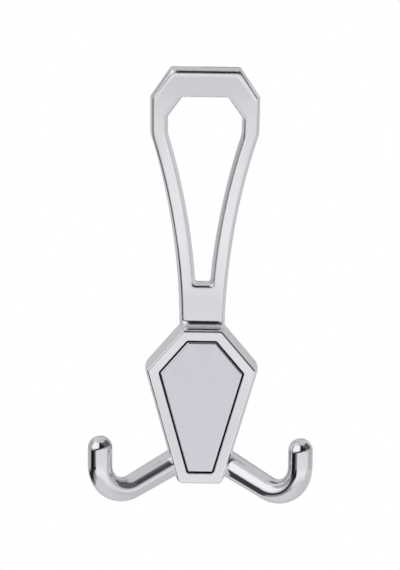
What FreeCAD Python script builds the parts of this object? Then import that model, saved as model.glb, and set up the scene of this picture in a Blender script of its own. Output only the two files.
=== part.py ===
"""A wall coat hook: one chromed casting with an upper loop and two lower prongs, and the plate over its screws.

Millimetres. X is to the right, Y goes into the wall and Z is up. The wall is the plane Y = 0, and the origin
lies on it behind the widest row of the coffin-shaped shield. Depths are measured forward from the wall.
"""
import FreeCAD, Part
import math
import os

import Sketcher

SIZES = {
    # The shield's rim, on its front face: half widths, and heights from the widest row.
    "rim_top_half": 7.45,
    "rim_side_half": 20.8,
    "rim_bottom_half": 8.1,
    "rim_top_height": 15.36,
    "rim_bottom_drop": 44.0,
    "shield_depth": 12.5,
    "wall_spread": 1.6,
    "front_top_round": 1.0,
    "front_side_round": 0.6,
    "front_bottom_round": 1.8,
    "back_top_round": 1.6,
    "back_side_round": 5.5,
    "back_bottom_round": 2.4,
    "rim_edge_round": 0.6,
    # The pocket in the shield: a ledge that carries the cover plate, and a floor that the screws go through.
    "rim_width": 3.98,
    "pocket_round": 1.2,
    "pocket_edge_bevel": 0.2,
    "ledge_width": 1.6,
    "recess_round": 1.2,
    "floor_thickness": 4.5,
    "screw_bore": 4.5,
    "screw_head": 8.6,
    "screw_height": 4.0,
    "screw_spacing": 28.0,
    # The cover plate and its two locating pegs.
    "seam_gap": 0.55,
    "cover_thickness": 2.2,
    "cover_edge_round": 0.6,
    "peg_bore": 3.2,
    "peg_clearance": 0.1,
    "peg_side": 7.0,
    "peg_drop": 10.0,
    "socket_depth": 2.2,
    "peg_end_gap": 0.4,
    # The upper loop, a blade that curves forward. Stations run up its back face from its foot, and drops run
    # down that face from the loop's top.
    "blade_back_radius": 295.0,
    "blade_front_radius": 305.0,
    "blade_stand_off": 0.6,
    "blade_foot_depth": 5.2,
    "blade_draft": 15.5,
    "foot_depth": 3.0,
    "neck_half": 8.85,
    "loop_half": 20.65,
    "loop_top_half": 12.9,
    "loop_station": 105.1,
    "corner_drop": 11.8,
    "shoulder_drop": 26.2,
    "bar_width": 6.95,
    "opening_top_half": 8.4,
    "opening_bottom_station": 21.2,
    "opening_corner_drop": 19.6,
    "opening_top_drop": 12.1,
    "loop_corner_round": 1.3,
    "opening_corner_round": 1.0,
    "shoulder_round": 10.0,
    "blade_front_round": 0.5,
    "blade_back_bevel": 0.5,
    "foot_round": 2.5,
    "foot_lean": 45.0,
    # The lower prongs. Each lies in an upright plane, runs outward and down, and turns up to a round tip.
    "prong_start_side": 9.0,
    "prong_start_depth": 4.52,
    "prong_start_drop": 36.5,
    "prong_splay": 33.0,
    "prong_fall": 22.0,
    "prong_reach": 34.35,
    "prong_bend_radius": 10.5,
    "prong_rise": 6.6,
    "prong_root_radius": 5.15,
    "prong_radius": 4.65,
}

# How far a cutting tool reaches past the surface that it cuts.
SPARE = 1.0
# Sections along the loop's curved sides, and along the sides of its opening.
SIDE_SECTIONS = 3

doc = FreeCAD.newDocument("coat_hook")
sheet = doc.addObject("Spreadsheet::Sheet", "Sizes")
for row, (alias, size) in enumerate(SIZES.items(), start=1):
    sheet.set(f"A{row}", alias)
    sheet.set(f"B{row}", str(size))
    sheet.setAlias(f"B{row}", alias)
doc.recompute()


def number(formula):
    """What a formula of the sheet's cells comes to."""
    result = sheet.evalExpression(formula)
    return float(getattr(result, "Value", result))


def cell(alias):
    return f"<<Sizes>>.{alias}"


def new_body(label):
    body = doc.addObject("PartDesign::Body", label)
    body.Label = label
    return body


def origin_plane(body, role):
    return next(f for f in body.Origin.OriginFeatures if f.Role == role)


def new_sketch(body, name, role, offset=None, tilt=None):
    """A sketch on one of the body's origin planes, moved by offset and turned about its X axis by tilt."""
    sketch = body.newObject("Sketcher::SketchObject", name)
    sketch.AttachmentSupport = [(origin_plane(body, role), "")]
    sketch.MapMode = "FlatFace"
    for path, formula in (offset or {}).items():
        sketch.setExpression(f"AttachmentOffset.Base.{path}", formula)
    if tilt:
        turn = FreeCAD.Rotation(FreeCAD.Vector(1, 0, 0), number(tilt))
        sketch.AttachmentOffset = FreeCAD.Placement(FreeCAD.Vector(), turn)
        sketch.setExpression("AttachmentOffset.Rotation.Angle", tilt)
    return sketch


def point(x, y):
    return FreeCAD.Vector(x, y, 0)


def add_polygon(sketch, corners, construction=False):
    """A closed polygon; returns the index of its first line. Line i starts at corner i."""
    first = sketch.GeometryCount
    count = len(corners)
    for i, corner in enumerate(corners):
        sketch.addGeometry(Part.LineSegment(point(*corner), point(*corners[(i + 1) % count])), construction)
    for i in range(count):
        sketch.addConstraint(Sketcher.Constraint("Coincident", first + i, 2, first + (i + 1) % count, 1))
    return first


def dimension(sketch, kind, where, formula):
    """A driving dimension bound to a formula of the sheet's cells."""
    index = sketch.addConstraint(Sketcher.Constraint(kind, *where, number(formula)))
    sketch.setExpression(f"Constraints[{index}]", formula)


LOOP_TOP = cell("loop_station")
CORNER = f"({LOOP_TOP} - {cell('corner_drop')})"
SHOULDER = f"({LOOP_TOP} - {cell('shoulder_drop')})"
OPENING_BOTTOM = cell("opening_bottom_station")
OPENING_CORNER = f"({LOOP_TOP} - {cell('opening_corner_drop')})"
OPENING_TOP = f"({LOOP_TOP} - {cell('opening_top_drop')})"

ORIGIN = (-1, 1)
X_AXIS = -1
Y_AXIS = -2


def rim_corners():
    """The rim's sharp front corners, clockwise from the top right."""
    top, side, bottom = (number(cell(a)) for a in ("rim_top_half", "rim_side_half", "rim_bottom_half"))
    height, drop = number(cell("rim_top_height")), number(cell("rim_bottom_drop"))
    return [(top, height), (side, 0), (bottom, -drop), (-bottom, -drop), (-side, 0), (-top, height)]


def moved_in(corners, inset):
    """A clockwise polygon with every side moved inward by inset."""
    count = len(corners)
    sides = []
    for i in range(count):
        (x0, y0), (x1, y1) = corners[i], corners[(i + 1) % count]
        length = math.hypot(x1 - x0, y1 - y0)
        nx, ny = (y1 - y0) / length, (x0 - x1) / length
        sides.append((nx, ny, nx * x0 + ny * y0 + inset))
    moved = []
    for i in range(count):
        (a, b, c), (d, e, f) = sides[i - 1], sides[i]
        det = a * e - b * d
        moved.append(((c * e - b * f) / det, (a * f - c * d) / det))
    return moved


def outline_sketch(body, name, depth, inset, rounds):
    """The shield's outline at a depth, moved inward from the rim's front corners, with its corners rounded.

    rounds gives the radii of the top, side and bottom corners as formulas.
    """
    sketch = new_sketch(body, name, "XZ_Plane", {"z": depth})
    corners = rim_corners()
    base = add_polygon(sketch, corners, construction=True)
    for right, left in ((0, 5), (1, 4), (2, 3)):
        sketch.addConstraint(Sketcher.Constraint("Symmetric", base + right, 1, base + left, 1, Y_AXIS))
    dimension(sketch, "DistanceX", (*ORIGIN, base, 1), cell("rim_top_half"))
    dimension(sketch, "DistanceY", (*ORIGIN, base, 1), cell("rim_top_height"))
    dimension(sketch, "DistanceX", (*ORIGIN, base + 1, 1), cell("rim_side_half"))
    sketch.addConstraint(Sketcher.Constraint("PointOnObject", base + 1, 1, X_AXIS))
    dimension(sketch, "DistanceX", (*ORIGIN, base + 2, 1), cell("rim_bottom_half"))
    dimension(sketch, "DistanceY", (base + 2, 1, *ORIGIN), cell("rim_bottom_drop"))

    distance = number(inset) if inset else 0
    sharp = moved_in(corners, distance)
    radius_formulas = [rounds[i] for i in (0, 1, 2, 2, 1, 0)]
    ends, arcs = [], []
    for i, corner in enumerate(sharp):
        before = (FreeCAD.Vector(*sharp[i - 1], 0) - point(*corner)).normalize()
        after = (FreeCAD.Vector(*sharp[(i + 1) % 6], 0) - point(*corner)).normalize()
        radius = number(radius_formulas[i])
        half_angle = before.getAngle(after) / 2
        reach = radius / math.tan(half_angle)
        centre = point(*corner) + (before + after).normalize() * (radius / math.sin(half_angle))
        first, last = point(*corner) + before * reach, point(*corner) + after * reach
        ends.append((first, last))
        start = math.atan2(last.y - centre.y, last.x - centre.x)
        stop = math.atan2(first.y - centre.y, first.x - centre.x)
        arcs.append(Part.ArcOfCircle(Part.Circle(centre, FreeCAD.Vector(0, 0, 1), radius), start, stop))
    line = sketch.GeometryCount
    for i in range(6):
        sketch.addGeometry(Part.LineSegment(ends[i][1], ends[(i + 1) % 6][0]))
    arc = sketch.GeometryCount
    for shape in arcs:
        sketch.addGeometry(shape)
    for i in range(6):
        sketch.addConstraint(Sketcher.Constraint("Tangent", line + i, 1, arc + i, 1))
        sketch.addConstraint(Sketcher.Constraint("Tangent", line + (i - 1) % 6, 2, arc + i, 2))
    for i in range(6):
        dimension(sketch, "Radius", (arc + i,), radius_formulas[i])
        if inset:
            sketch.addConstraint(Sketcher.Constraint("Parallel", line + i, base + i))
            dimension(sketch, "Distance", (line + i, 1, base + i), f"abs({inset})")
        else:
            sketch.addConstraint(Sketcher.Constraint("PointOnObject", line + i, 1, base + i))
            sketch.addConstraint(Sketcher.Constraint("PointOnObject", line + i, 2, base + i))
    return sketch


def angle_at(station):
    """The blade's lean at a station of its back face, as a formula in degrees."""
    return f"({station}) / {cell('blade_back_radius')} * 180 / pi * 1 deg"


def side_half(station):
    """The loop's half width at a station of its curved side, as a formula.

    The side is an arc that starts straight up at the foot and passes through the shoulder.
    """
    widening = f"({cell('loop_half')} - {cell('neck_half')})"
    radius = f"(({SHOULDER}^2 + {widening}^2) / (2 * {widening}))"
    return f"({cell('neck_half')} + {radius} - sqrt({radius}^2 - ({station})^2))"


def between(station, low, low_half, high, high_half):
    """A half width that changes evenly between two stations, as a formula."""
    return f"({low_half} + (({station}) - {low}) / ({high} - {low}) * ({high_half} - {low_half}))"


def blade_section(body, name, station, half_at, lean=0, opening=False):
    """A trapezoid across the blade: wide at its back face, or at its front face for the opening.

    The section stands square to the back face, or leans by the draft where it ends the blade or its opening.
    half_at gives the half width at a station, on the back face.
    """
    draft = f"{cell('blade_draft')} * 1 deg"
    tilt = angle_at(station) + (f" + {lean} * {draft}" if lean else "")
    along = f"{cell('blade_back_radius')} * sin({angle_at(station)})"
    forward = f"{cell('blade_stand_off')} + {cell('blade_back_radius')} * (1 - cos({angle_at(station)}))"
    height = f"{cell('rim_top_height')} - {cell('foot_depth')} + {along}"
    sketch = new_sketch(body, name, "XY_Plane", {"y": f"-({forward})", "z": height}, tilt)
    reach = 2 * SPARE if opening else SPARE
    thickness = f"{cell('blade_foot_depth')} + {cell('foot_depth')} + {cell('foot_round')}"
    depths = (f"-{reach}", f"({thickness} + {reach})")
    sign = "+" if opening else "-"
    halves = []
    for depth in depths:
        moved = f"{station} - {lean} * {depth} * tan({draft})"
        halves.append(f"{half_at(moved)} {sign} {depth} * tan({draft})")
    (back, front), (back_y, front_y) = [number(h) for h in halves], [-number(d) for d in depths]
    corners = [(back, back_y), (front, front_y), (-front, front_y), (-back, back_y)]
    first = add_polygon(sketch, corners)
    sketch.addConstraint(Sketcher.Constraint("Symmetric", first, 1, first + 3, 1, Y_AXIS))
    sketch.addConstraint(Sketcher.Constraint("Symmetric", first + 1, 1, first + 2, 1, Y_AXIS))
    dimension(sketch, "DistanceX", (*ORIGIN, first, 1), halves[0])
    dimension(sketch, "DistanceY", (*ORIGIN, first, 1), f"-({depths[0]})")
    dimension(sketch, "DistanceX", (*ORIGIN, first + 1, 1), halves[1])
    dimension(sketch, "DistanceY", (first + 1, 1, *ORIGIN), depths[1])
    return sketch


def add_loft(body, kind, name, sections, ruled=False):
    loft = body.newObject(f"PartDesign::{kind}Loft", name)
    loft.Profile = sections[0]
    loft.Sections = sections[1:]
    loft.Ruled = ruled
    body.Tip = loft
    return loft


def evenly(low, high):
    """The formulas of SIDE_SECTIONS + 1 stations from low to high."""
    return [f"({low} + ({high} - {low}) * {i} / {SIDE_SECTIONS})" for i in range(SIDE_SECTIONS + 1)]


def make_blade(body):
    """The loop and its neck, from three lofts that share their end sections, trimmed in side view."""
    straight = lambda station: cell("loop_half")
    slanted = lambda station: between(station, CORNER, cell("loop_half"), LOOP_TOP, cell("loop_top_half"))
    sides = [
        blade_section(body, f"blade_side_{i}", station, side_half)
        for i, station in enumerate(evenly("0", SHOULDER))
    ]
    corner_section = blade_section(body, "blade_corner", CORNER, straight)
    top_section = blade_section(body, "blade_top", LOOP_TOP, slanted, lean=1)
    add_loft(body, "Additive", "blade_sides", sides)
    add_loft(body, "Additive", "blade_shoulders", [sides[-1], corner_section], ruled=True)
    add_loft(body, "Additive", "blade_crown", [corner_section, top_section], ruled=True)


def make_opening(body):
    """The opening through the loop, wider at the front."""
    bar, top_half = cell("bar_width"), cell("opening_top_half")
    inner_half = f"({cell('loop_half')} - {bar})"
    curved = lambda station: f"({side_half(station)} - {bar})"
    straight = lambda station: inner_half
    slanted = lambda station: between(station, OPENING_CORNER, inner_half, OPENING_TOP, top_half)
    sides = [
        blade_section(body, f"opening_side_{i}", station, curved, lean=0 if i else 1, opening=True)
        for i, station in enumerate(evenly(OPENING_BOTTOM, SHOULDER))
    ]
    corner_section = blade_section(body, "opening_corner", OPENING_CORNER, straight, opening=True)
    top_section = blade_section(body, "opening_top", OPENING_TOP, slanted, lean=-1, opening=True)
    add_loft(body, "Subtractive", "opening_sides", sides)
    add_loft(body, "Subtractive", "opening_shoulders", [sides[-1], corner_section], ruled=True)
    add_loft(body, "Subtractive", "opening_crown", [corner_section, top_section], ruled=True)


def cut_in_side_view(body, name, sketch):
    """Cut a profile on the YZ plane out of the whole width."""
    trim = body.newObject("PartDesign::Pocket", name)
    trim.Profile = sketch
    trim.Midplane = True
    trim.setExpression("Length", f"2 * ({cell('loop_half')} + {cell('bar_width')})")
    body.Tip = trim


def join(sketch, *pairs):
    for one, other in pairs:
        sketch.addConstraint(Sketcher.Constraint("Coincident", one, 2, other, 1))


def square_up(sketch, **lines):
    for kind, indices in lines.items():
        for index in indices:
            sketch.addConstraint(Sketcher.Constraint(kind, index))


FOOT_HEIGHT = f"({cell('rim_top_height')} - {cell('foot_depth')})"
PAST_TOP = f"({angle_at(LOOP_TOP + ' + ' + cell('bar_width'))})"
# Past the blade's thickness and its bend at the top, measured from the wall.
PAST_FRONT = f"({cell('blade_foot_depth')} + {LOOP_TOP} * sin({PAST_TOP}) + {cell('bar_width')})"


def face_arc(radius, depth):
    """One face of the blade in side view: it starts straight up at the foot and bends forward."""
    r, low, angle = number(radius), number(FOOT_HEIGHT), math.radians(number(PAST_TOP))
    circle = Part.Circle(point(-number(depth) - r, low), FreeCAD.Vector(0, 0, 1), r)
    return Part.ArcOfCircle(circle, 0, angle)


def trim_back(body):
    """Cut away what lies behind the blade's back face."""
    sketch = new_sketch(body, "blade_back_profile", "YZ_Plane")
    radius = cell("blade_back_radius")
    arc = face_arc(radius, cell("blade_stand_off"))
    far = number(cell("bar_width"))
    top, low = arc.EndPoint, arc.StartPoint.y
    sketch.addGeometry(arc)
    sketch.addGeometry(Part.LineSegment(top, point(far, top.y)))
    sketch.addGeometry(Part.LineSegment(point(far, top.y), point(far, low)))
    sketch.addGeometry(Part.LineSegment(point(far, low), arc.StartPoint))
    join(sketch, (0, 1), (1, 2), (2, 3))
    square_up(sketch, Horizontal=(1, 3), Vertical=(2,))
    sketch.addConstraint(Sketcher.Constraint("Perpendicular", 3, 2, 0, 1))
    dimension(sketch, "DistanceX", (0, 1, *ORIGIN), cell("blade_stand_off"))
    dimension(sketch, "Radius", (0,), radius)
    dimension(sketch, "DistanceY", (*ORIGIN, 0, 1), FOOT_HEIGHT)
    dimension(sketch, "DistanceY", (*ORIGIN, 0, 2), f"{FOOT_HEIGHT} + {radius} * sin({PAST_TOP})")
    dimension(sketch, "DistanceX", (*ORIGIN, 2, 1), cell("bar_width"))
    cut_in_side_view(body, "blade_back", sketch)


def trim_foot(body):
    """Cut the neck's foot to the curve that flares it forward into the shield.

    The curve starts on the blade's front face and ends on the shield's top wall. A straight line carries it on inside
    the shield. The height where it starts is kept as the profile's own reference, flare_top.
    """
    sketch = new_sketch(body, "blade_foot_profile", "YZ_Plane")
    radius, flare = cell("blade_front_radius"), cell("foot_round")
    face = face_arc(radius, cell("blade_foot_depth"))
    r, f, far, low = number(radius), number(flare), -number(PAST_FRONT), number(FOOT_HEIGHT)
    lean = math.radians(number(cell("foot_lean")))
    rim = point(-number(cell("shield_depth")), number(cell("rim_top_height")))
    wall = Part.LineSegment(rim, point(0, rim.y + number(cell("wall_spread"))))
    along = (wall.EndPoint - wall.StartPoint).normalize()
    upward = point(-along.y, along.x)
    to_end = point(math.cos(lean), -math.sin(lean)) * f
    # The curve's centre lies in front of the face by its radius, and the curve's end lies on the wall.
    height = (rim - to_end - face.Center).dot(upward)
    centre = face.Center + upward * height + along * math.sqrt((r - f) ** 2 - height**2)
    towards_face = (centre - face.Center).normalize()
    start = math.atan2(towards_face.y, towards_face.x)
    end = centre + to_end
    top = centre + towards_face * f
    inside = point(end.x - (end.y - low) / math.tan(math.pi / 2 - lean), low)

    axis = FreeCAD.Vector(0, 0, 1)
    sketch.addGeometry(Part.ArcOfCircle(Part.Circle(centre, axis, f), 2 * math.pi - lean, 2 * math.pi + start))
    sketch.addGeometry(Part.LineSegment(top, point(far, top.y)))
    sketch.addGeometry(Part.LineSegment(point(far, top.y), point(far, low)))
    sketch.addGeometry(Part.LineSegment(point(far, low), inside))
    sketch.addGeometry(Part.LineSegment(inside, end))
    sketch.addGeometry(wall, True)
    sketch.addGeometry(Part.Circle(face.Center, axis, r), True)
    join(sketch, (0, 1), (1, 2), (2, 3), (3, 4))
    square_up(sketch, Horizontal=(1, 3), Vertical=(2,))
    sketch.addConstraint(Sketcher.Constraint("Tangent", 4, 2, 0, 1))
    sketch.addConstraint(Sketcher.Constraint("Tangent", 0, 2, 6))
    sketch.addConstraint(Sketcher.Constraint("PointOnObject", 0, 1, 5))
    sketch.addConstraint(Sketcher.Constraint("PointOnObject", 5, 2, Y_AXIS))
    dimension(sketch, "DistanceX", (5, 1, *ORIGIN), cell("shield_depth"))
    dimension(sketch, "DistanceY", (*ORIGIN, 5, 1), cell("rim_top_height"))
    dimension(sketch, "DistanceY", (5, 1, 5, 2), cell("wall_spread"))
    dimension(sketch, "Radius", (6,), radius)
    dimension(sketch, "Radius", (0,), flare)
    dimension(sketch, "DistanceX", (6, 3, *ORIGIN), f"{cell('blade_foot_depth')} + {radius}")
    dimension(sketch, "DistanceY", (*ORIGIN, 6, 3), FOOT_HEIGHT)
    dimension(sketch, "DistanceX", (2, 1, *ORIGIN), PAST_FRONT)
    dimension(sketch, "DistanceY", (*ORIGIN, 3, 1), FOOT_HEIGHT)
    dimension(sketch, "DistanceX", (0, 3, 0, 1), f"{flare} * cos({cell('foot_lean')} * 1 deg)")
    index = sketch.addConstraint(Sketcher.Constraint("DistanceY", *ORIGIN, 0, 2, top.y))
    sketch.setDriving(index, False)
    sketch.renameConstraint(index, "flare_top")
    cut_in_side_view(body, "blade_foot", sketch)


def trim_front(body):
    """Cut away what lies in front of the blade's front face, from the flare of its foot upward."""
    doc.recompute()
    sketch = new_sketch(body, "blade_front_profile", "YZ_Plane")
    radius, low = cell("blade_front_radius"), "blade_foot_profile.Constraints.flare_top"
    face = face_arc(radius, cell("blade_foot_depth"))
    r, far = number(radius), -number(PAST_FRONT)
    flare_top = doc.getObject("blade_foot_profile").getDatum("flare_top").Value
    start = math.asin((flare_top - face.Center.y) / r)
    arc = Part.ArcOfCircle(Part.Circle(face.Center, FreeCAD.Vector(0, 0, 1), r), start, face.LastParameter)
    top, bottom = arc.EndPoint, arc.StartPoint
    sketch.addGeometry(arc)
    sketch.addGeometry(Part.LineSegment(top, point(far, top.y)))
    sketch.addGeometry(Part.LineSegment(point(far, top.y), point(far, bottom.y)))
    sketch.addGeometry(Part.LineSegment(point(far, bottom.y), bottom))
    join(sketch, (0, 1), (1, 2), (2, 3), (3, 0))
    square_up(sketch, Horizontal=(1, 3), Vertical=(2,))
    dimension(sketch, "Radius", (0,), radius)
    dimension(sketch, "DistanceX", (0, 3, *ORIGIN), f"{cell('blade_foot_depth')} + {radius}")
    dimension(sketch, "DistanceY", (*ORIGIN, 0, 3), FOOT_HEIGHT)
    dimension(sketch, "DistanceY", (*ORIGIN, 0, 2), f"{FOOT_HEIGHT} + {radius} * sin({PAST_TOP})")
    dimension(sketch, "DistanceX", (2, 1, *ORIGIN), PAST_FRONT)
    index = sketch.addConstraint(Sketcher.Constraint("DistanceY", *ORIGIN, 0, 1, flare_top))
    sketch.setExpression(f"Constraints[{index}]", low)
    cut_in_side_view(body, "blade_front", sketch)


def blade_depth(place):
    """How far a point lies in front of the blade's back face."""
    radius = number(cell("blade_back_radius"))
    return radius - math.hypot(place.y + number(cell("blade_stand_off")) + radius, place.z - number(FOOT_HEIGHT))


def blade_gap(place):
    """How far a point lies behind the blade's front face."""
    radius = number(cell("blade_front_radius"))
    return math.hypot(place.y + number(cell("blade_foot_depth")) + radius, place.z - number(FOOT_HEIGHT)) - radius


def blade_station(place):
    """How far up the blade's back face a point lies."""
    radius = number(cell("blade_back_radius"))
    forward = place.y + number(cell("blade_stand_off"))
    return radius * math.atan2(place.z - number(FOOT_HEIGHT), forward + radius)


def middle(edge):
    return edge.valueAt((edge.FirstParameter + edge.LastParameter) / 2)


def soften_edges(body, name, size, chosen, bevel=False):
    """Fillet or bevel the edges of the body's tip that chosen accepts."""
    doc.recompute()
    base = body.Tip
    names = [f"Edge{i}" for i, edge in enumerate(base.Shape.Edges, start=1) if chosen(edge)]
    feature = body.newObject(f"PartDesign::{'Chamfer' if bevel else 'Fillet'}", name)
    feature.Base = (base, names)
    feature.setExpression("Size" if bevel else "Radius", cell(size))
    body.Tip = feature
    doc.recompute()


NEAR = 0.02


def round_blade(body):
    """Soften the blade: its corners first, and then the front and back edges that run round them."""

    def across(edge, *stations):
        """Does an edge run from the back face to the front face, close to one of these stations?"""
        place = middle(edge)
        off = min(abs(blade_station(place) - number(station)) for station in stations)
        return blade_depth(place) > NEAR and blade_gap(place) > NEAR and off < number(cell("bar_width")) / 3

    def outside(edge):
        """Does an edge lie beyond the middle of the loop's side bars?"""
        return abs(middle(edge).x) > number(f"{cell('loop_half')} - {cell('bar_width')} / 2")

    def loop_corner(edge):
        return across(edge, CORNER) and outside(edge) or across(edge, LOOP_TOP)

    def opening_corner(edge):
        return across(edge, OPENING_BOTTOM, OPENING_CORNER, OPENING_TOP) and not outside(edge)

    def flare_seam(edge):
        """Is this the smooth line across the neck where the flare of its foot begins?"""
        place = middle(edge)
        low = blade_station(place) < number(OPENING_BOTTOM) / 2
        return low and abs(place.x) < number(cell("neck_half")) / 2

    def front(edge):
        on_face = abs(blade_gap(middle(edge))) < NEAR and blade_station(middle(edge)) > SPARE
        return on_face and not flare_seam(edge)

    def back(edge):
        return abs(blade_depth(middle(edge))) < NEAR and blade_station(middle(edge)) > SPARE

    soften_edges(body, "opening_corners", "opening_corner_round", opening_corner)
    soften_edges(body, "loop_corners", "loop_corner_round", loop_corner)
    soften_edges(body, "shoulders", "shoulder_round", lambda edge: across(edge, SHOULDER))
    soften_edges(body, "blade_front_edges", "blade_front_round", front)
    soften_edges(body, "blade_back_edges", "blade_back_bevel", back, bevel=True)


def make_shield(body):
    """The shield's solid outer form: walls that spread towards the wall, round a flat front."""
    back = outline_sketch(
        body, "shield_back", "0", f"-{cell('wall_spread')}",
        [cell("back_top_round"), cell("back_side_round"), cell("back_bottom_round")],
    )
    front = outline_sketch(
        body, "shield_front", cell("shield_depth"), "",
        [cell("front_top_round"), cell("front_side_round"), cell("front_bottom_round")],
    )
    add_loft(body, "Additive", "shield", [back, front], ruled=True)


def round_rim(body):
    """Soften the shield's outer front edge."""
    front = -number(cell("shield_depth"))

    def in_front(edge):
        return all(abs(edge.valueAt(t).y - front) < NEAR for t in edge.ParameterRange)

    soften_edges(body, "rim_edge", "rim_edge_round", in_front)


def circle_sketch(body, name, role, offset, circles):
    """A sketch of circles, each given by formulas for x, y and radius. A leading - means left or below."""
    sketch = new_sketch(body, name, role, offset)
    for x, y, radius in circles:
        index = sketch.GeometryCount
        centre = point(number(x), number(y))
        sketch.addGeometry(Part.Circle(centre, FreeCAD.Vector(0, 0, 1), number(radius)))
        for kind, formula in (("DistanceX", x), ("DistanceY", y)):
            if number(formula) == 0:
                axis = Y_AXIS if kind == "DistanceX" else X_AXIS
                sketch.addConstraint(Sketcher.Constraint("PointOnObject", index, 3, axis))
            elif number(formula) > 0:
                dimension(sketch, kind, (*ORIGIN, index, 3), formula)
            else:
                dimension(sketch, kind, (index, 3, *ORIGIN), f"-({formula})")
        dimension(sketch, "Radius", (index,), radius)
    return sketch


def path_section(body, name, path, edge, where, radius):
    """A circle square to one edge of a path, at its start or its end."""
    section = body.newObject("Sketcher::SketchObject", name)
    section.AttachmentSupport = [(path, edge)]
    section.MapMode = "NormalToEdge"
    section.MapPathParameter = where
    section.addGeometry(Part.Circle(point(0, 0), FreeCAD.Vector(0, 0, 1), number(cell(radius))))
    section.addConstraint(Sketcher.Constraint("Coincident", 0, 3, *ORIGIN))
    dimension(section, "Radius", (0,), cell(radius))
    return section


def on_path(body, kind, name, path, edge, where):
    """A solid placed on one edge of a path, at its start or end. Its Z axis points back along the path."""
    solid = body.newObject(f"PartDesign::{kind}", name)
    solid.AttachmentSupport = [(path, edge)]
    solid.MapMode = "NormalToEdge"
    solid.MapPathParameter = where
    body.Tip = solid
    return solid


def prong_path(body, side):
    """A prong's centre line: straight down from inside the shield, round a bend and straight up.

    It lies in an upright plane that is turned forward by the splay, on the right or on the left.
    """
    sign, turn = "", f"-{cell('prong_splay')}"
    if side == "left":
        sign, turn = "-", f"(180 + {cell('prong_splay')})"
    offset = {
        "x": sign + cell("prong_start_side"),
        "y": f"-{cell('prong_start_drop')}",
        "z": cell("prong_start_depth"),
    }
    path = new_sketch(body, f"{side}_prong_path", "XZ_Plane", offset)
    splay = FreeCAD.Rotation(FreeCAD.Vector(0, 1, 0), number(turn))
    path.AttachmentOffset = FreeCAD.Placement(path.AttachmentOffset.Base, splay)
    path.setExpression("AttachmentOffset.Rotation.Angle", f"{turn} * 1 deg")
    fall = math.radians(number(cell("prong_fall")))
    bend, reach, rise = (number(cell(a)) for a in ("prong_bend_radius", "prong_reach", "prong_rise"))
    low_x = reach - bend - bend * math.sin(fall)
    low = point(low_x, -low_x * math.tan(fall))
    centre = low + point(bend * math.sin(fall), bend * math.cos(fall))
    high = centre + point(bend, 0)
    path.addGeometry(Part.LineSegment(point(0, 0), low))
    circle = Part.Circle(centre, FreeCAD.Vector(0, 0, 1), bend)
    path.addGeometry(Part.ArcOfCircle(circle, -math.pi / 2 - fall, 0))
    path.addGeometry(Part.LineSegment(high, high + point(0, rise)))
    path.addConstraint(Sketcher.Constraint("Coincident", 0, 1, *ORIGIN))
    path.addConstraint(Sketcher.Constraint("Tangent", 0, 2, 1, 1))
    path.addConstraint(Sketcher.Constraint("Tangent", 1, 2, 2, 1))
    path.addConstraint(Sketcher.Constraint("Vertical", 2))
    dimension(path, "Radius", (1,), cell("prong_bend_radius"))
    dimension(path, "DistanceX", (*ORIGIN, 2, 2), cell("prong_reach"))
    dimension(path, "DistanceY", (2, 1, 2, 2), cell("prong_rise"))
    sideways = f"{cell('prong_bend_radius')} * sin({cell('prong_fall')} * 1 deg)"
    dimension(path, "DistanceX", (1, 1, 1, 3), sideways)
    index = path.addConstraint(Sketcher.Constraint("Distance", 0, low.Length))
    path.setDriving(index, False)
    path.renameConstraint(index, "arm_length")
    return path


def make_prong(body, side):
    """One prong: a tapered arm, a bend, and a short upright end with a round tip."""
    path = prong_path(body, side)
    doc.recompute()
    start = path_section(body, f"{side}_bend_start", path, "Edge2", 0, "prong_radius")
    doc.recompute()
    arm = on_path(body, "AdditiveCone", f"{side}_arm", path, "Edge2", 0)
    arm.setExpression("Radius1", cell("prong_radius"))
    arm.setExpression("Radius2", cell("prong_root_radius"))
    arm.setExpression("Height", f"{path.Name}.Constraints.arm_length")
    bend = body.newObject("PartDesign::AdditivePipe", f"{side}_bend")
    bend.Profile = start
    bend.Spine = (path, ["Edge2", "Edge3"])
    body.Tip = bend
    tip = on_path(body, "AdditiveSphere", f"{side}_tip", path, "Edge3", 1)
    tip.setExpression("Radius", cell("prong_radius"))
    tip.Angle1 = -90
    tip.Angle2 = 0


LEDGE_DEPTH = f"({cell('shield_depth')} - {cell('cover_thickness')})"
LOWER_SCREW = f"({cell('screw_height')} - {cell('screw_spacing')})"


def extrude(body, kind, name, sketch, length, turned=False):
    """Pad a sketch along its normal, or cut it the other way."""
    feature = body.newObject(f"PartDesign::{kind}", name)
    feature.Profile = sketch
    feature.setExpression("Length", length)
    feature.Reversed = turned
    body.Tip = feature
    return feature


def pegs(body, name, depth, radius):
    """Two circles side by side, on the line of the cover plate's pegs."""
    drop = f"-{cell('peg_drop')}"
    return circle_sketch(
        body, name, "XZ_Plane", {"z": depth},
        [(cell("peg_side"), drop, radius), (f"-{cell('peg_side')}", drop, radius)],
    )


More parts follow.
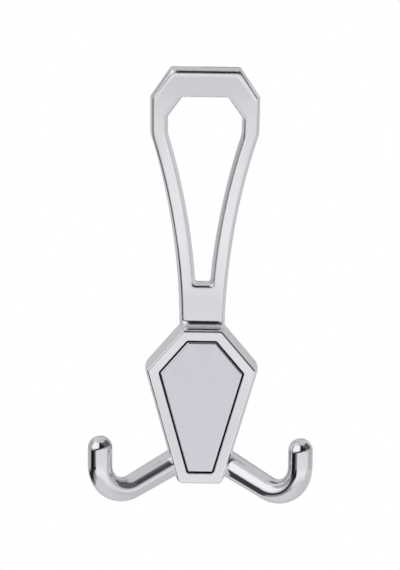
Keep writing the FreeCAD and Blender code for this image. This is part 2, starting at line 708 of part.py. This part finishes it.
def make_pocket(body):
    """The pocket for the cover plate, the recess inside its ledge, the screw holes and the peg sockets."""
    seat = outline_sketch(
        body, "pocket_outline", cell("shield_depth"), cell("rim_width"), [cell("pocket_round")] * 3
    )
    extrude(body, "Pocket", "pocket", seat, cell("cover_thickness"))
    hollow = outline_sketch(
        body, "recess_outline", LEDGE_DEPTH, f"({cell('rim_width')} + {cell('ledge_width')})",
        [cell("recess_round")] * 3,
    )
    extrude(body, "Pocket", "recess", hollow, f"{LEDGE_DEPTH} - {cell('floor_thickness')}")
    doc.recompute()
    screws = circle_sketch(
        body, "screw_centres", "XZ_Plane", {"z": cell("floor_thickness")},
        [("0", place, f"{cell('screw_bore')} / 2") for place in (cell("screw_height"), LOWER_SCREW)],
    )
    doc.recompute()
    holes = body.newObject("PartDesign::Hole", "screw_holes")
    holes.Profile = screws
    body.Tip = holes
    doc.recompute()
    holes.ThreadType = "None"
    holes.HoleCutType = "Countersink"
    holes.DepthType = "ThroughAll"
    holes.HoleCutCountersinkAngle = 90
    holes.setExpression("Diameter", cell("screw_bore"))
    holes.setExpression("HoleCutDiameter", cell("screw_head"))
    doc.recompute()
    sockets = pegs(body, "socket_circles", cell("floor_thickness"), f"{cell('peg_bore')} / 2")
    extrude(body, "Pocket", "peg_sockets", sockets, cell("socket_depth"))
    doc.recompute()

    front = -number(cell("shield_depth"))
    rim = next(f for f in body.Tip.Shape.Faces if all(abs(v.Y - front) < NEAR for v in f.Vertexes))
    inner = [e for wire in rim.Wires if not wire.isSame(rim.OuterWire) for e in wire.Edges]

    def mouth(edge):
        return any(edge.isSame(e) for e in inner)

    soften_edges(body, "pocket_edge", "pocket_edge_bevel", mouth, bevel=True)


def make_cover(body):
    """The plate that fills the pocket, flush with the rim, with two pegs at its back."""
    inset = f"({cell('rim_width')} + {cell('seam_gap')})"
    outline = outline_sketch(
        body, "cover_outline", LEDGE_DEPTH, inset, [f"({cell('pocket_round')} - {cell('seam_gap')})"] * 3
    )
    extrude(body, "Pad", "plate", outline, cell("cover_thickness"))
    circles = pegs(body, "peg_circles", LEDGE_DEPTH, f"({cell('peg_bore')} / 2 - {cell('peg_clearance')})")
    length = f"{LEDGE_DEPTH} - {cell('floor_thickness')} + {cell('socket_depth')} - {cell('peg_end_gap')}"
    extrude(body, "Pad", "pegs", circles, length, turned=True)
    doc.recompute()
    front = -number(cell("shield_depth"))
    soften_edges(
        body,
        "cover_edge",
        "cover_edge_round",
        lambda edge: all(abs(v.Y - front) < NEAR for v in edge.Vertexes),
    )


def check(doc, bodies):
    """Stop if any object failed or any sub-part is missing, broken or in more than one piece."""
    failed = [o.Name for o in doc.Objects if "Invalid" in o.State or "Error" in o.State]
    if failed:
        raise RuntimeError(f"these objects failed: {failed}")
    for body in bodies:
        if body.Shape.isNull() or not body.Shape.isValid() or len(body.Shape.Solids) != 1:
            raise RuntimeError(f"{body.Label} is not one valid solid")


hook = new_body("hook_body")
make_blade(hook)
make_opening(hook)
trim_back(hook)
trim_foot(hook)
trim_front(hook)
round_blade(hook)
make_shield(hook)
round_rim(hook)
make_prong(hook, "right")
make_prong(hook, "left")
make_pocket(hook)

cover = new_body("cover_plate")
make_cover(cover)

doc.recompute()
bodies = [hook, cover]
check(doc, bodies)
os.makedirs("parts", exist_ok=True)
for body in bodies:
    body.Shape.exportStep(f"parts/{body.Label}.step")
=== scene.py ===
"""A chromed coat hook: an upper loop, a coffin-shaped shield with a cover plate, and two lower prongs.

Metres. X is to the right, Y goes into the wall and Z is up. The wall is the plane Y = 0.
"""

import math

import bpy
from mathutils import Matrix, Vector

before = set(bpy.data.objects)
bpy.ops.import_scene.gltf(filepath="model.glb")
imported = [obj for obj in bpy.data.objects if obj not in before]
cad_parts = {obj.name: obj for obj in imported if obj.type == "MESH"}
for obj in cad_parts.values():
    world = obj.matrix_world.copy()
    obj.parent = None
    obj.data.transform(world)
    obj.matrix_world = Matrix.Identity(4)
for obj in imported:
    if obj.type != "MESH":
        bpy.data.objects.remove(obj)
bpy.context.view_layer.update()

# The camera, straight in front and slightly above: its tilt up from straight down and its roll in degrees,
# and its lens and sensor in millimetres.
CAMERA_PLACE = (-0.001, -0.609, 0.0977)
CAMERA_TILT = 83.8
CAMERA_ROLL = 0.8
LENS = 99.79
SENSOR = 36

# One wide soft lamp above the camera: its sides, and its power in watts.
LAMP_PLACE = (-0.6, -1.0, 1.2)
LAMP_SIZE = (1.2, 0.8)
LAMP_POWER = 20

# The pale floor, far below the hook: half its side, its height, and its paint.
GROUND_HALF = 0.9
GROUND_HEIGHT = -1.0
GROUND_TONE = 0.86
GROUND_ROUGHNESS = 0.8

# The studio that the chrome reflects. Azimuth 0 is in front of the hook and grows to the right, in degrees.
# Its brightness by elevation, before any panel.
SWEEP = [
    (-90, 0.60),
    (-60, 0.67),
    (-46, 0.71),
    (-37, 0.68),
    (-31, 0.80),
    (-25, 0.89),
    (-19, 0.92),
    (-15, 0.86),
    (-13.5, 0.84),
    (-12, 0.775),
    (-10.4, 0.79),
    (-9, 0.86),
    (-7, 0.79),
    (-3, 0.68),
    (10, 0.70),
    (50, 0.70),
    (70, 0.62),
    (90, 0.60),
]
# Panels with soft edges, each over those before it: brightness, azimuths, elevations, softness of the edges,
# how far an upright edge leans per degree up, and how far a level edge climbs per degree to the right.
PANELS = [
    (0.58, (-200, -148), (-60, 60), 8, 0, 0),
    (0.57, (148, 200), (-60, 60), 8, 0, 0),
    (0.43, (160, 200), (12, 40), 6, 0, 0),
    (0.46, (-130, -32), (-62, -36), 8, 0, 0),
    (0.34, (-132, -40), (-40, -22), 7, 0, 0),
    (0.60, (52, 140), (-60, -18), 8, 0, 0),
    (0.49, (72, 136), (-18, 6), 8, 0, 0),
    (0.44, (-146, -76), (-16, 40), 8, 0, 0),
    (0.02, (-134, -78), (-38, -18), 5, 0, 0),
    (1.02, (-80, -12), (3, 52), 7, 0, 0),
    (0.26, (-14, 20), (50, 70), 7, 0, 0),
    (0.12, (12, 118), (8, 58), 8, 0, 0),
    (0.02, (16, 46), (7, 36), 6, 0, 0),
    (0.02, (-7, 24), (7, 56), 5, 0, 0),
    (0.012, (-91, -52), (-27, -7), 5, 0, 0),
    (0.05, (-43, -25), (-50, -24), 5, 1.4, 0),
    (0.02, (-56, -34), (-21, -12), 3, 0, 0),
    (0.02, (-58, 24), (0, 11), 3, 0, 0.27),
]

# The front of the shield: half its outline from the top down, its depth, the width of the rim round the cover
# plate, and the depth of the recess's floor behind the plate.
SHIELD = [(0.00745, 0.01536), (0.0208, 0.0), (0.0081, -0.044)]
SHIELD_FACE = -0.0125
RIM = 0.00398
RECESS_FLOOR = -0.0045

# The seam round the cover plate, and the recess behind the plate, get painted shade: a dark, dull colour where
# shade falls in the gap. How far below the shield's face the painted shade begins, how far outside the recess's
# outline it ends, each as the start and the end of the change, and how far behind the recess's floor it stops,
# so that the back of the shield stays bright.
SEAM_START = (0.00021, 0.00039)
SEAM_END = (0.0001, 0.0003)
SEAM_PAST_FLOOR = 0.0001
# The colour and roughness of the painted shade in the seam: dark and dull, where shade falls in the gap.
SEAM_PAINTED_SHADE = (0.03, 0.03, 0.033)
SEAM_SHADE_ROUGHNESS = 0.9

# How widely polishing has softened the edges: at the seam, on the shield and the prongs, and then from the
# foot of the loop upward, each as the heights between which it takes over and its width.
SEAM_SOFTNESS = 0.0003
SHIELD_SOFTNESS = 0.0009
LOOP_SOFTNESS = [
    (0.0150, 0.0156, 0.00378),
    (0.0175, 0.0190, 0.00198),
    (0.106, 0.111, 0.00324),
]
# The distances from the recess's outline between which the seam's softness gives way to the shield's.
SEAM_REACH = (0.0014, 0.0026)
EDGE_SAMPLES = 16

# The two platings: colour and roughness.
CHROME = ((0.86, 0.855, 0.90), 0.04)
SATIN_CHROME = ((0.755, 0.76, 0.83), 0.14)

# The unevenness of the polish, which spreads the roughness between two shares of it, and the faint waviness
# of the casting under the plating: the scale and detail of each pattern, and the height of the waves.
POLISH_PATTERN = (260, 4)
POLISH_CONTRAST = (0.3, 0.7)
POLISH_SPREAD = (0.8, 1.3)
WAVE_PATTERN = (120, 1)
WAVE_HEIGHT = 0.00001


def add(tree, kind, **settings):
    """A new node with its settings."""
    node = tree.nodes.new(kind)
    for name, value in settings.items():
        setattr(node, name, value)
    return node


def plug(tree, socket, value):
    """Links a socket to another node's output, or sets its number."""
    if isinstance(value, bpy.types.NodeSocket):
        tree.links.new(value, socket)
    else:
        socket.default_value = value


def sum_up(tree, operation, *values):
    """A Math node's result."""
    node = add(tree, "ShaderNodeMath", operation=operation)
    for socket, value in zip(node.inputs, values):
        plug(tree, socket, value)
    return node.outputs["Value"]


def rise(tree, value, low, high):
    """0 below low and 1 above high, with a smooth change between them."""
    node = add(tree, "ShaderNodeMapRange", interpolation_type="SMOOTHSTEP")
    plug(tree, node.inputs["Value"], value)
    plug(tree, node.inputs["From Min"], low)
    plug(tree, node.inputs["From Max"], high)
    return node.outputs["Result"]


def band(tree, value, start, end, soft):
    """1 between start and end, 0 outside them, with edges that are 2 x soft wide."""
    up = rise(tree, value, start - soft, start + soft)
    down = rise(tree, value, end - soft, end + soft)
    return sum_up(tree, "SUBTRACT", up, down)


def blend(tree, share, before, after):
    """A number that goes from before to after as share goes from 0 to 1."""
    change = sum_up(tree, "SUBTRACT", after, before)
    return sum_up(tree, "MULTIPLY_ADD", share, change, before)


def pattern(tree, place, scale, detail):
    """A cloudy pattern between 0 and 1, fixed to the metal."""
    noise = add(tree, "ShaderNodeTexNoise")
    tree.links.new(place, noise.inputs["Vector"])
    noise.inputs["Scale"].default_value = scale
    noise.inputs["Detail"].default_value = detail
    return noise.outputs[0]


def make_world():
    """A pale studio with dark panels at its sides. The camera itself sees plain white."""
    world = bpy.data.worlds.new("studio")
    world.use_nodes = True
    bpy.context.scene.world = world
    tree = world.node_tree
    tree.nodes.clear()
    direction = add(tree, "ShaderNodeTexCoord").outputs["Generated"]
    axes = add(tree, "ShaderNodeSeparateXYZ")
    tree.links.new(direction, axes.inputs[0])
    forward = sum_up(tree, "MULTIPLY", axes.outputs["Y"], -1.0)
    turn = sum_up(tree, "ARCTAN2", axes.outputs["X"], forward)
    azimuth = sum_up(tree, "MULTIPLY", turn, 180 / math.pi)
    height = sum_up(tree, "ARCSINE", axes.outputs["Z"])
    elevation = sum_up(tree, "MULTIPLY", height, 180 / math.pi)

    level = SWEEP[0][1]
    for (low, before), (high, after) in zip(SWEEP, SWEEP[1:]):
        share = rise(tree, elevation, low, high)
        level = sum_up(tree, "MULTIPLY_ADD", share, after - before, level)
    for tone, sides, heights, soft, lean, climb in PANELS:
        across = band(tree, sum_up(tree, "MULTIPLY_ADD", elevation, -lean, azimuth), *sides, soft)
        up = band(tree, sum_up(tree, "MULTIPLY_ADD", azimuth, -climb, elevation), *heights, soft)
        share = sum_up(tree, "MULTIPLY", across, up)
        level = blend(tree, share, level, tone)

    studio = add(tree, "ShaderNodeBackground")
    tree.links.new(level, studio.inputs["Strength"])
    white = add(tree, "ShaderNodeBackground")
    seen = add(tree, "ShaderNodeLightPath").outputs["Is Camera Ray"]
    for shader in (studio, white):
        shader.inputs["Color"].default_value = (1, 1, 1, 1)
    mix = add(tree, "ShaderNodeMixShader")
    tree.links.new(seen, mix.inputs["Fac"])
    tree.links.new(studio.outputs[0], mix.inputs[1])
    tree.links.new(white.outputs[0], mix.inputs[2])
    out = add(tree, "ShaderNodeOutputWorld")
    tree.links.new(mix.outputs[0], out.inputs["Surface"])


def outside_recess(tree, axes):
    """Metres from the outline of the cover plate's recess, seen from the front and negative inside it."""
    side = sum_up(tree, "ABSOLUTE", axes.outputs["X"])
    up = axes.outputs["Z"]
    farthest = sum_up(tree, "MAXIMUM", sum_up(tree, "SUBTRACT", up, SHIELD[0][1]),
                      sum_up(tree, "SUBTRACT", SHIELD[-1][1], up))
    for (x, z), (next_x, next_z) in zip(SHIELD, SHIELD[1:]):
        length = math.hypot(next_x - x, next_z - z)
        across, along = (z - next_z) / length, (next_x - x) / length
        reach = sum_up(tree, "MULTIPLY_ADD", side, across, -across * x - along * z)
        reach = sum_up(tree, "MULTIPLY_ADD", up, along, reach)
        farthest = sum_up(tree, "MAXIMUM", farthest, reach)
    return sum_up(tree, "ADD", farthest, RIM)


def painted_seam_shade(tree, axes, outside):
    """Where painted shade goes: 1 inside the seam round the cover plate and in the recess behind the plate, 0
    elsewhere.
    """
    depth = axes.outputs["Y"]
    near = sum_up(tree, "SUBTRACT", 1.0, rise(tree, outside, *SEAM_END))
    deep = rise(tree, depth, SHIELD_FACE + SEAM_START[0], SHIELD_FACE + SEAM_START[1])
    seam_shade = sum_up(tree, "MULTIPLY", near, deep)
    in_front = sum_up(tree, "LESS_THAN", depth, RECESS_FLOOR + SEAM_PAST_FLOOR)
    return sum_up(tree, "MULTIPLY", seam_shade, in_front)


def edge_softness(tree, axes, outside):
    """How widely polishing has softened an edge, by where it is."""
    softness = SHIELD_SOFTNESS
    for start, full, width in LOOP_SOFTNESS:
        softness = blend(tree, rise(tree, axes.outputs["Z"], start, full), softness, width)
    return blend(tree, rise(tree, outside, *SEAM_REACH), SEAM_SOFTNESS, softness)


def make_metal(name, colour, roughness):
    """Plated metal with painted shade in the seam, an uneven polish, softened edges and a faint waviness."""
    material = bpy.data.materials.new(name)
    material.use_nodes = True
    tree = material.node_tree
    shader = tree.nodes["Principled BSDF"]
    place = add(tree, "ShaderNodeTexCoord").outputs["Object"]
    axes = add(tree, "ShaderNodeSeparateXYZ")
    tree.links.new(place, axes.inputs[0])
    outside = outside_recess(tree, axes)

    # The painted shade in the seam darkens the colour, turns the metal off and roughens it, so that the gap
    # looks shaded.
    seam_shade = painted_seam_shade(tree, axes, outside)
    tint = add(tree, "ShaderNodeMix", data_type="RGBA")
    tree.links.new(seam_shade, tint.inputs["Factor"])
    tint.inputs["A"].default_value = (*colour, 1)
    tint.inputs["B"].default_value = (*SEAM_PAINTED_SHADE, 1)
    tree.links.new(tint.outputs["Result"], shader.inputs["Base Color"])
    tree.links.new(sum_up(tree, "SUBTRACT", 1.0, seam_shade), shader.inputs["Metallic"])

    gloss = add(tree, "ShaderNodeMapRange")
    tree.links.new(pattern(tree, place, *POLISH_PATTERN), gloss.inputs["Value"])
    gloss.inputs["From Min"].default_value = POLISH_CONTRAST[0]
    gloss.inputs["From Max"].default_value = POLISH_CONTRAST[1]
    gloss.inputs["To Min"].default_value = roughness * POLISH_SPREAD[0]
    gloss.inputs["To Max"].default_value = roughness * POLISH_SPREAD[1]
    tree.links.new(blend(tree, seam_shade, gloss.outputs["Result"], SEAM_SHADE_ROUGHNESS), shader.inputs["Roughness"])

    edges = add(tree, "ShaderNodeBevel", samples=EDGE_SAMPLES)
    tree.links.new(edge_softness(tree, axes, outside), edges.inputs["Radius"])
    bump = add(tree, "ShaderNodeBump")
    tree.links.new(pattern(tree, place, *WAVE_PATTERN), bump.inputs["Height"])
    tree.links.new(edges.outputs[0], bump.inputs["Normal"])
    bump.inputs["Strength"].default_value = 1
    bump.inputs["Distance"].default_value = WAVE_HEIGHT
    tree.links.new(bump.outputs["Normal"], shader.inputs["Normal"])
    return material


def dress(node, material):
    """Gives a node its material."""
    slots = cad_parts[node].data.materials
    slots.clear()
    slots.append(material)


def make_ground():
    """A pale floor far below the hook, which hangs at its place on a wall."""
    mesh = bpy.data.meshes.new("floor")
    half = GROUND_HALF
    corners = [(x, y, GROUND_HEIGHT) for x, y in ((-half, -half), (half, -half), (half, half), (-half, half))]
    mesh.from_pydata(corners, [], [(0, 1, 2, 3)])
    ground = bpy.data.objects.new("floor", mesh)
    bpy.context.scene.collection.objects.link(ground)
    material = bpy.data.materials.new("floor_paint")
    material.use_nodes = True
    shader = material.node_tree.nodes["Principled BSDF"]
    shader.inputs["Base Color"].default_value = (GROUND_TONE, GROUND_TONE, GROUND_TONE, 1)
    shader.inputs["Roughness"].default_value = GROUND_ROUGHNESS
    mesh.materials.append(material)


def make_camera():
    """A long lens at the photograph's viewing angle."""
    data = bpy.data.cameras.new("camera")
    data.lens = LENS
    data.sensor_width = SENSOR
    camera = bpy.data.objects.new("camera", data)
    bpy.context.scene.collection.objects.link(camera)
    tilt = Matrix.Rotation(math.radians(CAMERA_TILT), 4, "X")
    roll = Matrix.Rotation(math.radians(CAMERA_ROLL), 4, "Z")
    camera.matrix_world = Matrix.Translation(CAMERA_PLACE) @ tilt @ roll
    bpy.context.scene.camera = camera


def make_lamp():
    """A soft lamp that points at the hook and isn't seen in its chrome."""
    data = bpy.data.lights.new("soft_lamp", "AREA")
    data.shape = "RECTANGLE"
    data.size, data.size_y = LAMP_SIZE
    data.energy = LAMP_POWER
    lamp = bpy.data.objects.new("soft_lamp", data)
    bpy.context.scene.collection.objects.link(lamp)
    lamp.location = LAMP_PLACE
    lamp.rotation_euler = (Vector((0, 0, 0)) - lamp.location).to_track_quat("-Z", "Y").to_euler()
    lamp.visible_glossy = False


make_camera()
make_world()
make_lamp()
make_ground()
dress("hook_body", make_metal("chrome", *CHROME))
dress("cover_plate", make_metal("satin_chrome", *SATIN_CHROME))

bpy.context.scene.view_settings.view_transform = "Standard"
